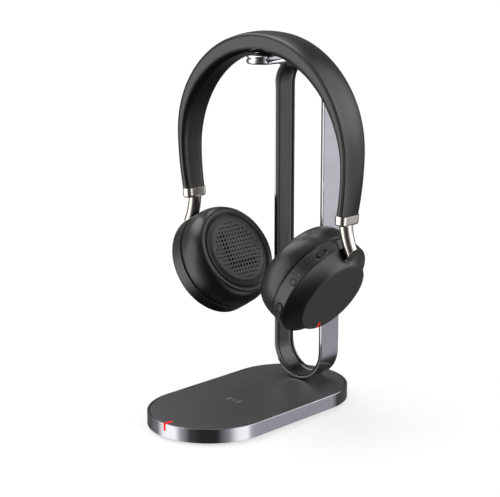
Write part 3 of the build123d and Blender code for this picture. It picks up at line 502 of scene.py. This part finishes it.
def make_cushion(side, place):
    """Stuffed leatherette ring, gathered into its seams at the back and around the speaker pad."""
    loop = smooth_loop(CUSHION_POINTS, CUSHION_CURVE_STEPS)
    columns = len(loop)
    points = []
    for i in range(CUSHION_STEPS):
        angle = 2 * pi * i / CUSHION_STEPS
        around = Vector((cos(angle), sin(angle), 0))
        for r, z in loop:
            near = sum(max(0.0, 1 - hypot(r - seam_r, z - seam_z) / reach) for seam_r, seam_z, reach in SEAMS)
            gather = noise.noise(around * GATHER_PITCH + GATHER_SHIFT) * PUCKER * GATHER * near
            sag = noise.noise((around * r + Vector((0, 0, z))) * SAG_PITCH) * PUCKER * SAG
            grown = r - gather
            if r > SAG_FROM_R:
                grown -= abs(sag)
            points.append(place(grown * around.x, grown * around.y, z + gather / 2))
    faces = grid_faces(CUSHION_STEPS, columns, wrap_rows=True)
    name = "cushion_" + side
    cushion = make_piece(name, points, faces, LEATHER, side + "_cup")
    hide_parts("ear_cushion_" + side)


def pad_height(r):
    """Slightly dished top of the speaker pad."""
    return PAD_TOP + PAD_DISH * max(0.0, 1 - (r / PAD_DISH_R) ** 2)


def band_faces(surface, before, after):
    """Quads between two rings of vertices."""
    for k, (a, b) in enumerate(zip(before, after)):
        beside = (k + 1) % len(before)
        surface.faces.new((a, before[beside], after[beside], b))


def is_large(i, j):
    """The L of larger holes: two rows low in the pad and two columns at its front."""
    return (i in (-4, -3) and -4 <= j < 4) or (j in (3, 4) and -4 <= i < 5)


def punch_cell(surface, x, y, size):
    """One square of the sheet. It has a hole in it, except outside the field of holes."""
    square = []
    ring = []
    for k in range(HOLE_SIDES):
        angle = pi / 4 + 2 * pi * k / HOLE_SIDES
        ring.append(surface.verts.new((x + HOLE_R[size] * cos(angle), y + HOLE_R[size] * sin(angle), 0)))
        quarter, step = divmod(k, HOLE_SIDES // 4)
        start = pi / 4 + quarter * pi / 2
        a = Vector((cos(start), sin(start))) * HOLE_PITCH * sqrt(0.5)
        b = Vector((-sin(start), cos(start))) * HOLE_PITCH * sqrt(0.5)
        spot = a.lerp(b, step / (HOLE_SIDES // 4))
        square.append(surface.verts.new((x + spot.x, y + spot.y, 0)))
    band_faces(surface, square, ring)
    if hypot(x, y) > HOLE_FIELD_R:
        surface.faces.new(ring)
        return
    low = [surface.verts.new((v.co.x, v.co.y, HOLE_DEPTH[size])) for v in ring]
    band_faces(surface, ring, low)
    surface.faces.new(low)


def make_scrim(side, place):
    """Perforated pad over the speaker: a square grid of real holes, with a rolled edge."""
    surface = bmesh.new()
    reach = int(HOLE_FIELD_R / HOLE_PITCH) + 2
    for i in range(-reach, reach + 1):
        for j in range(-reach, reach + 1):
            x = i * HOLE_PITCH
            y = j * HOLE_PITCH
            if hypot(abs(x) + HOLE_PITCH / 2, abs(y) + HOLE_PITCH / 2) <= PAD_FLAT_R - PAD_RIM:
                punch_cell(surface, x, y, is_large(i, j))
    bmesh.ops.remove_doubles(surface, verts=surface.verts, dist=HOLE_MERGE)
    edge = [e for e in surface.edges if e.is_boundary]
    around = [(cos(2 * pi * k / PAD_SIDES), sin(2 * pi * k / PAD_SIDES)) for k in range(PAD_SIDES)]
    before = [surface.verts.new((PAD_FLAT_R * c, PAD_FLAT_R * d, 0)) for c, d in around]
    edge += [surface.edges.new((before[k], before[(k + 1) % PAD_SIDES])) for k in range(PAD_SIDES)]
    bmesh.ops.triangle_fill(surface, use_beauty=True, edges=edge)
    back = PAD_BACK - PAD_TOP
    profile = []
    for step in range(1, PAD_ROLL_STEPS + 1):
        turn = step / PAD_ROLL_STEPS
        profile.append((PAD_FLAT_R + (PAD_R - PAD_FLAT_R) * turn, PAD_DROP * (1 - cos(pi * turn)) / 2))
    profile += [(PAD_R, back - PAD_FOOT[0]), (PAD_R - PAD_FOOT[1], back), (PAD_BACK_R, back)]
    for r, depth in profile:
        ring = [surface.verts.new((r * c, r * d, depth)) for c, d in around]
        band_faces(surface, before, ring)
        before = ring
    surface.faces.new(before)
    surface.verts.index_update()
    points = []
    for vert in surface.verts:
        x, y, depth = vert.co
        points.append(place(x, y, min(PAD_BACK, pad_height(hypot(x, y)) + depth)))
    faces = [[v.index for v in face.verts] for face in surface.faces]
    surface.free()
    scrim = make_piece("speaker_pad_" + side, points, faces, SCRIM, side + "_cup")
    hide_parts("ear_scrim_" + side)


# ---- base pictogram ------------------------------------------------------------------------

def arc_strip(radius, middle, steps=14):
    """Thin flat arc around the sign's centre, as a closed strip."""
    points = []
    for i in range(steps + 1):
        angle = middle + SIGN_ARC_SPREAD * (2 * i / steps - 1)
        for side, z in ((-1, 0), (-1, SIGN_INK), (1, SIGN_INK), (1, 0)):
            r = radius + side * SIGN_LINE / 2
            points.append((r * cos(angle), r * sin(angle), z))
    faces = grid_faces(steps + 1, 4)
    faces.append((0, 1, 2, 3))
    faces.append(tuple(steps * 4 + k for k in (3, 2, 1, 0)))
    return points, faces


def bolt_plate():
    """The bolt in the middle of the sign."""
    count = len(SIGN_BOLT)
    points = [(x, y, z) for z in (0, SIGN_INK) for x, y in SIGN_BOLT]
    faces = grid_faces(2, count)
    faces.append(tuple(range(count)))
    faces.append(tuple(count + k for k in reversed(range(count))))
    return points, faces


def make_pictogram():
    """Wireless-charging sign printed on the base: a bolt between two pairs of arcs."""
    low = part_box("base_cover")[1].z / MM + SIGN_LIFT
    marks = [arc_strip(radius, middle) for middle in (0, pi) for radius in SIGN_ARC_R]
    marks.append(bolt_plate())
    points = []
    faces = []
    for mark_points, mark_faces in marks:
        faces += [tuple(index + len(points) for index in face) for face in mark_faces]
        points += [(SIGN_CENTRE[0] + x, SIGN_CENTRE[1] + y, low + z) for x, y, z in mark_points]
    make_piece("charging_pictogram", points, faces, PRINT, "stand")


# ---- studio --------------------------------------------------------------------------------

FLOOR_SIZE = 20.0           # metres each way


def make_floor():
    """Plain pale floor that takes shadows. The object doesn't reflect it and isn't lit by it."""
    mesh = bpy.data.meshes.new("floor")
    corners = [(x * FLOOR_SIZE, y * FLOOR_SIZE, 0) for x, y in ((-1, -1), (1, -1), (1, 1), (-1, 1))]
    mesh.from_pydata(corners, [], [(0, 1, 2, 3)])
    floor = bpy.data.objects.new("floor", mesh)
    bpy.context.scene.collection.objects.link(floor)
    graph = Graph("pale_floor", base_color=(0.30, 0.30, 0.30, 1), roughness=0.5, specular_IOR_level=0.2,
                  emission_color=(1, 1, 1, 1), emission_strength=0.62)
    mesh.materials.append(graph.material)
    floor.visible_glossy = False
    floor.visible_diffuse = False


STUDIO_BANDS = [            # azimuth from the front towards +X in degrees, brightness, blue tint
    (-180, 0.05, 0.0), (-150, 0.05, 0.0), (-95, 0.06, 0.0), (-66, 0.18, 0.04), (-50, 0.95, 0.0),
    (-24, 1.0, 0.0), (-12, 0.35, 0.04), (6, 0.05, 0.0), (28, 0.02, 0.0), (56, 0.02, 0.0),
    (77, 0.24, 0.04), (94, 0.85, 0.0), (113, 0.95, 0.0), (123, 0.37, 0.04), (142, 0.27, 0.04),
    (152, 0.05, 0.0), (180, 0.05, 0.0)]
STUDIO_STRENGTH = 2.7
STUDIO_LOW = (-0.85, -0.45)          # heights, as sines, between which the bands fade in
STUDIO_HIGH = (0.78, 0.42)           # and out
STUDIO_HIGH_RIGHT = (0.98, 0.75)     # the bands on the +X side reach higher
RIGHT_FADE = (0.0, 0.2)
SOFTBOXES = [((-0.46, 0.06, 0.88), 0.80, 0.93, 3.6),      # direction, cosines of the edge, brightness
             ((0.55, 0.60, 0.55), 0.80, 0.93, 1.4)]


def make_world():
    """A studio that only lights and reflects: bands of light all round, and two softboxes above."""
    world = bpy.data.worlds.new("studio")
    bpy.context.scene.world = world
    world.use_nodes = True
    nodes = world.node_tree.nodes
    links = world.node_tree.links
    nodes.clear()

    def add(kind, **settings):
        node = nodes.new("ShaderNode" + kind)
        for key, value in settings.items():
            setattr(node, key, value)
        return node

    def math(operation, *values):
        node = add("Math", operation=operation)
        for socket, value in zip(node.inputs, values):
            if isinstance(value, (int, float)):
                socket.default_value = value
            else:
                links.new(value, socket)
        return node.outputs[0]

    def window(source, low, high):
        """0 at low, 1 at high, with a smooth step between them."""
        node = add("MapRange", interpolation_type="SMOOTHSTEP")
        links.new(source, node.inputs["Value"])
        node.inputs["From Min"].default_value = low
        node.inputs["From Max"].default_value = high
        return node.outputs["Result"]

    direction = add("TexCoord").outputs["Generated"]
    split = add("SeparateXYZ")
    links.new(direction, split.inputs[0])
    x, y, z = split.outputs
    azimuth = math("ARCTAN2", x, math("MULTIPLY", y, -1.0))
    turn = math("MULTIPLY_ADD", azimuth, 0.5 / pi, 0.5)
    ramp = add("ValToRGB")
    links.new(turn, ramp.inputs["Fac"])
    elements = ramp.color_ramp.elements
    for index, (degrees, bright, blue) in enumerate(STUDIO_BANDS):
        position = degrees / 360 + 0.5
        element = elements[index] if index < 2 else elements.new(position)
        element.position = position
        element.color = (bright * (1 - blue), bright * (1 - blue), bright * (1 + blue), 1)
    right = math("MULTIPLY", window(x, *RIGHT_FADE), window(z, *STUDIO_HIGH_RIGHT))
    height = math("MAXIMUM", window(z, *STUDIO_HIGH), right)
    height = math("MULTIPLY", window(z, *STUDIO_LOW), height)
    height = math("MULTIPLY", height, STUDIO_STRENGTH)
    scaled = add("VectorMath", operation="SCALE")
    links.new(ramp.outputs["Color"], scaled.inputs[0])
    links.new(height, scaled.inputs["Scale"])
    total = scaled
    for aim, low, high, strength in SOFTBOXES:
        facing = add("VectorMath", operation="DOT_PRODUCT")
        links.new(direction, facing.inputs[0])
        facing.inputs[1].default_value = Vector(aim).normalized()
        glow = math("MULTIPLY", window(facing.outputs["Value"], low, high), strength)
        lit = add("VectorMath", operation="ADD")
        links.new(total.outputs[0], lit.inputs[0])
        links.new(glow, lit.inputs[1])
        total = lit
    studio = add("Background")
    links.new(total.outputs[0], studio.inputs["Color"])
    plain = add("Background")
    plain.inputs["Color"].default_value = (1, 1, 1, 1)
    mix = add("MixShader")
    links.new(add("LightPath").outputs["Is Camera Ray"], mix.inputs["Fac"])
    links.new(studio.outputs[0], mix.inputs[1])
    links.new(plain.outputs[0], mix.inputs[2])
    links.new(mix.outputs[0], add("OutputWorld").inputs["Surface"])


def make_light(name, place, aim, size, power, glossy=True):
    """Rectangular softbox. Places in metres."""
    lamp = bpy.data.lights.new(name, "AREA")
    lamp.shape = "RECTANGLE"
    lamp.size, lamp.size_y = size
    lamp.energy = power
    lamp_object = bpy.data.objects.new(name, lamp)
    lamp_object.location = place
    lamp_object.rotation_euler = (Vector(aim) - Vector(place)).to_track_quat("-Z", "Y").to_euler()
    lamp_object.visible_glossy = glossy
    bpy.context.scene.collection.objects.link(lamp_object)


def make_camera():
    back = Vector((sin(VIEW_AZIMUTH) * cos(VIEW_ELEVATION), -cos(VIEW_AZIMUTH) * cos(VIEW_ELEVATION),
                   sin(VIEW_ELEVATION)))
    right = Vector((cos(VIEW_AZIMUTH), sin(VIEW_AZIMUTH), 0))
    up = back.cross(right)
    camera = bpy.data.cameras.new("camera")
    camera.lens = VIEW_LENS
    camera.clip_start = 0.01
    view = bpy.data.objects.new("camera", camera)
    view.location = (right * VIEW_TARGET[0] + up * VIEW_TARGET[1] + back * VIEW_DISTANCE) * MM
    view.rotation_euler = (-back).to_track_quat("-Z", "Y").to_euler()
    bpy.context.scene.collection.objects.link(view)
    bpy.context.scene.camera = view


make_camera()
finish_cad_nodes()
make_headband()
for cup_side in ("right", "left"):
    cup_place = cup_frame(cup_side)
    make_cushion(cup_side, cup_place)
    make_scrim(cup_side, cup_place)
make_pictogram()
make_floor()
make_world()
make_light("key", (-0.5, -0.6, 1.1), (0, 0, 0.12), (0.7, 0.7), 2.0, glossy=False)
make_light("edge", (0.75, 1.25, 0.40), (0.05, 0, 0.17), (0.7, 1.3), 1.8)
bpy.context.scene.view_settings.view_transform = "Standard"
